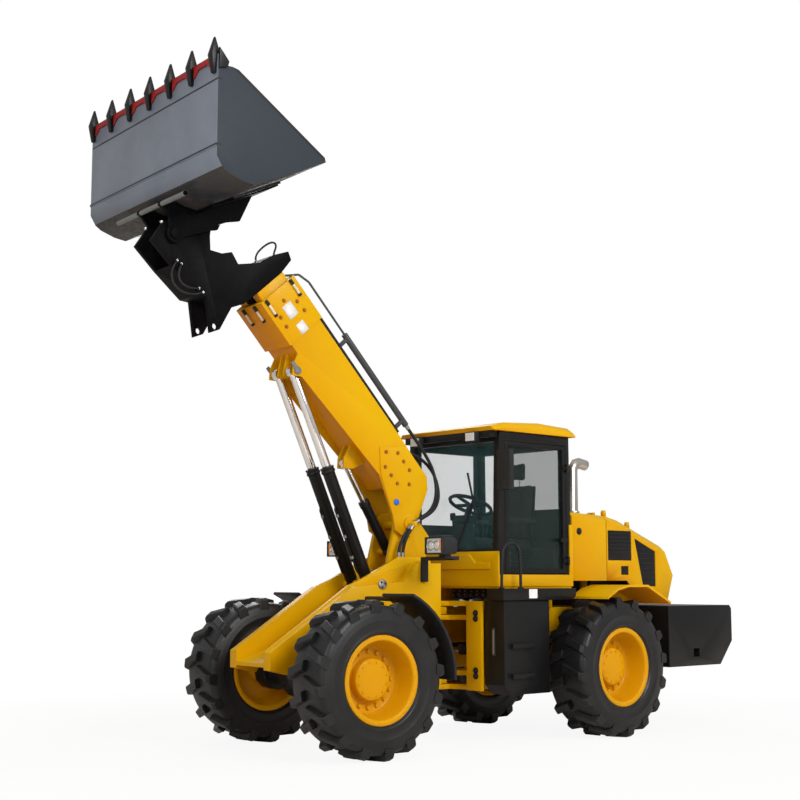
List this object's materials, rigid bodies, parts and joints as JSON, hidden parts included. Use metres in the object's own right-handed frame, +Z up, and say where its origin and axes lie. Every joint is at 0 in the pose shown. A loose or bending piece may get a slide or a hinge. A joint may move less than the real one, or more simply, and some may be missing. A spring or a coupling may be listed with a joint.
{
  "type": "articulated telescopic wheel loader",
  "caption": "Articulated wheel loader with a raised telescopic boom, toothed bucket on a quick hitch, glazed cab, sloping engine hood and rear counterweight.",
  "frame": {"origin": "on the ground under the vertical pin of the articulation joint", "axes": "+X forward along the rear half, +Y to the operator's left, +Z up"},
  "size_m": [6.0144, 2.355, 5.13],
  "materials": {
    "yellow_paint": "gloss",
    "black_paint": "satin",
    "bucket_paint": "satin",
    "red_paint": "satin",
    "grey_steel": "satin",
    "cast_metal": "rough",
    "chrome": "polished",
    "glass": "gloss",
    "tyre": "matte",
    "black_plastic": "matte",
    "lamp_lens": "gloss",
    "red_lens": "gloss",
    "hose_rubber": "matte",
    "seat_cloth": "matte"
  },
  "bodies": {
    "rear_frame": {"rear_chassis": "yellow_paint", "rear_axle": "black_paint", "engine_block": "cast_metal", "counterweight": "black_paint", "engine_cowl": "yellow_paint", "exhaust_stack": "chrome", "rear_fenders": "yellow_paint", "side_tanks": "black_paint", "platforms": "black_paint", "cab_floor": "yellow_paint", "cab_frame": "black_paint", "cab_roof": "yellow_paint", "cab_glass": "glass", "operator_seat": "seat_cloth", "steering_console": "black_plastic", "cab_lamps": "lamp_lens", "mirrors": "black_plastic"},
    "engine_hood": {"hood": "yellow_paint", "hood_grilles": "black_paint", "hood_slats": "black_plastic", "tail_lamps": "red_lens"},
    "cab_door": {"door_frame": "black_paint", "door_glass": "glass"},
    "front_frame": {"front_chassis": "yellow_paint", "front_axle": "black_paint", "front_mudguards": "black_plastic", "headlamps": "black_plastic", "headlamp_lenses": "lamp_lens", "tower_hoses": "hose_rubber"},
    "boom": {"outer_boom": "yellow_paint", "hose_tube": "grey_steel", "boom_hoses": "hose_rubber"},
    "boom_extension": {"inner_boom": "yellow_paint", "gooseneck": "black_paint", "hose_rod": "chrome", "neck_hoses": "hose_rubber"},
    "tool": {"quick_hitch": "black_paint", "bucket": "bucket_paint", "cutting_edge": "red_paint", "bucket_teeth": "black_paint"},
    "lift_barrel_pair": {"lift_barrels": "black_paint"},
    "lift_rod_pair": {"lift_rods": "chrome"},
    "levelling_barrel": {"comp_barrel": "black_paint"},
    "levelling_rod": {"comp_rod": "chrome"},
    "tilt_barrel_body": {"tilt_barrel": "black_paint"},
    "tilt_rod_body": {"tilt_rod": "chrome"},
    "steer_barrel_left_body": {"steer_barrel_left": "black_paint"},
    "steer_rod_left_body": {"steer_rod_left": "chrome"},
    "steer_barrel_right_body": {"steer_barrel_right": "black_paint"},
    "steer_rod_right_body": {"steer_rod_right": "chrome"},
    "wheel_front_left": {"tyre_front_left": "tyre", "rim_front_left": "yellow_paint"},
    "wheel_front_right": {"tyre_front_right": "tyre", "rim_front_right": "yellow_paint"},
    "wheel_rear_left": {"tyre_rear_left": "tyre", "rim_rear_left": "yellow_paint"},
    "wheel_rear_right": {"tyre_rear_right": "tyre", "rim_rear_right": "yellow_paint"}
  },
  "joints": [
    {"name": "steer", "type": "hinge", "parent": "rear_frame", "child": "front_frame", "pos_m": [0, 0, 0.74], "axis": [0, 0, 1], "range_deg": [-30, 42]},
    {"name": "lift", "type": "hinge", "parent": "front_frame", "child": "boom", "pos_m": [0.42068, -0.04422, 1.77], "axis": [-0.1045, -0.9945, 0], "range_deg": [-75, 4]},
    {"name": "telescope", "type": "slide", "parent": "boom", "child": "boom_extension", "axis": [0.659, -0.0693, 0.749], "range_m": [0, 1.2]},
    {"name": "tilt", "type": "hinge", "parent": "boom_extension", "child": "tool", "pos_m": [2.58576, -0.27177, 3.88958], "axis": [0.1045, 0.9945, 0], "range_deg": [-8, 135]},
    {"name": "door", "type": "hinge", "parent": "rear_frame", "child": "cab_door", "pos_m": [-1.046, 0.566, 1.9], "axis": [0, 0, 1], "range_deg": [0, 90]},
    {"name": "hood_lid", "type": "hinge", "parent": "rear_frame", "child": "engine_hood", "pos_m": [-1.58, 0, 1.906], "axis": [0, 1, 0], "range_deg": [0, 45]},
    {"name": "roll_front_left", "type": "hinge", "parent": "front_frame", "child": "wheel_front_left", "pos_m": [1.3362, 0.65894, 0.585], "axis": [0.1045, 0.9945, 0], "continuous": true},
    {"name": "roll_front_right", "type": "hinge", "parent": "front_frame", "child": "wheel_front_right", "pos_m": [1.17, -0.92235, 0.585], "axis": [0.1045, 0.9945, 0], "continuous": true},
    {"name": "roll_rear_left", "type": "hinge", "parent": "rear_frame", "child": "wheel_rear_left", "pos_m": [-1.26, 0.795, 0.585], "axis": [0, 1, 0], "continuous": true},
    {"name": "roll_rear_right", "type": "hinge", "parent": "rear_frame", "child": "wheel_rear_right", "pos_m": [-1.26, -0.795, 0.585], "axis": [0, 1, 0], "continuous": true},
    {"name": "lift_barrel_turn", "type": "hinge", "parent": "front_frame", "child": "lift_barrel_pair", "pos_m": [0.76578, -0.08049, 1.28], "axis": [-0.1045, -0.9945, 0], "range_deg": [-79.4, 4.25]},
    {"name": "lift_rod_slide", "type": "slide", "parent": "lift_barrel_pair", "child": "lift_rod_pair", "axis": [0.4012, -0.0422, 0.915], "range_m": [-0.72348, 0.03906]},
    {"name": "levelling_barrel_turn", "type": "hinge", "parent": "front_frame", "child": "levelling_barrel", "pos_m": [0.49726, -0.05226, 1.55], "axis": [-0.1045, -0.9945, 0], "range_deg": [-74.13, 3.97]},
    {"name": "levelling_rod_slide", "type": "slide", "parent": "levelling_barrel", "child": "levelling_rod", "axis": [0.5197, -0.0546, 0.8526], "range_m": [-0.2841, 0.01563]},
    {"name": "tilt_barrel_turn", "type": "hinge", "parent": "boom_extension", "child": "tilt_barrel_body", "pos_m": [1.37, -0.14399, 3.32883], "axis": [-0.1045, -0.9945, 0], "range_deg": [-0.34, 5.34]},
    {"name": "tilt_rod_slide", "type": "slide", "parent": "tilt_barrel_body", "child": "tilt_rod_body", "axis": [0.899, -0.0945, 0.4277], "range_m": [-0.02579, 0.4272]},
    {"name": "steer_left_barrel_turn", "type": "hinge", "parent": "rear_frame", "child": "steer_barrel_left_body", "pos_m": [-0.62, 0.17, 0.74], "axis": [0, 0, 1], "range_deg": [-4.55, 6.37]},
    {"name": "steer_left_rod_slide", "type": "slide", "parent": "steer_barrel_left_body", "child": "steer_rod_left_body", "axis": [0.9999, 0.0167, 0], "range_m": [-0.16179, 0.11571]},
    {"name": "steer_right_barrel_turn", "type": "hinge", "parent": "rear_frame", "child": "steer_barrel_right_body", "pos_m": [-0.62, -0.17, 0.74], "axis": [0, 0, 1], "range_deg": [-7.03, 9.83]},
    {"name": "steer_right_rod_slide", "type": "slide", "parent": "steer_barrel_right_body", "child": "steer_rod_right_body", "axis": [0.9982, -0.0595, 0], "range_m": [-0.08243, 0.1152]}
  ],
  "couplings": [
    {"joint": "lift_barrel_turn", "follows": "lift", "ratio": 1.0584},
    {"joint": "lift_rod_slide", "follows": "lift", "m_per_rad": 0.55231},
    {"joint": "levelling_barrel_turn", "follows": "lift", "ratio": 0.9881},
    {"joint": "levelling_rod_slide", "follows": "lift", "m_per_rad": 0.21665},
    {"joint": "tilt_barrel_turn", "follows": "tilt", "ratio": 0.039396},
    {"joint": "tilt_rod_slide", "follows": "tilt", "m_per_rad": 0.1811},
    {"joint": "steer_left_barrel_turn", "follows": "steer", "ratio": 0.15111},
    {"joint": "steer_left_rod_slide", "follows": "steer", "m_per_rad": -0.22004},
    {"joint": "steer_right_barrel_turn", "follows": "steer", "ratio": 0.2336},
    {"joint": "steer_right_rod_slide", "follows": "steer", "m_per_rad": 0.15647}
  ]
}
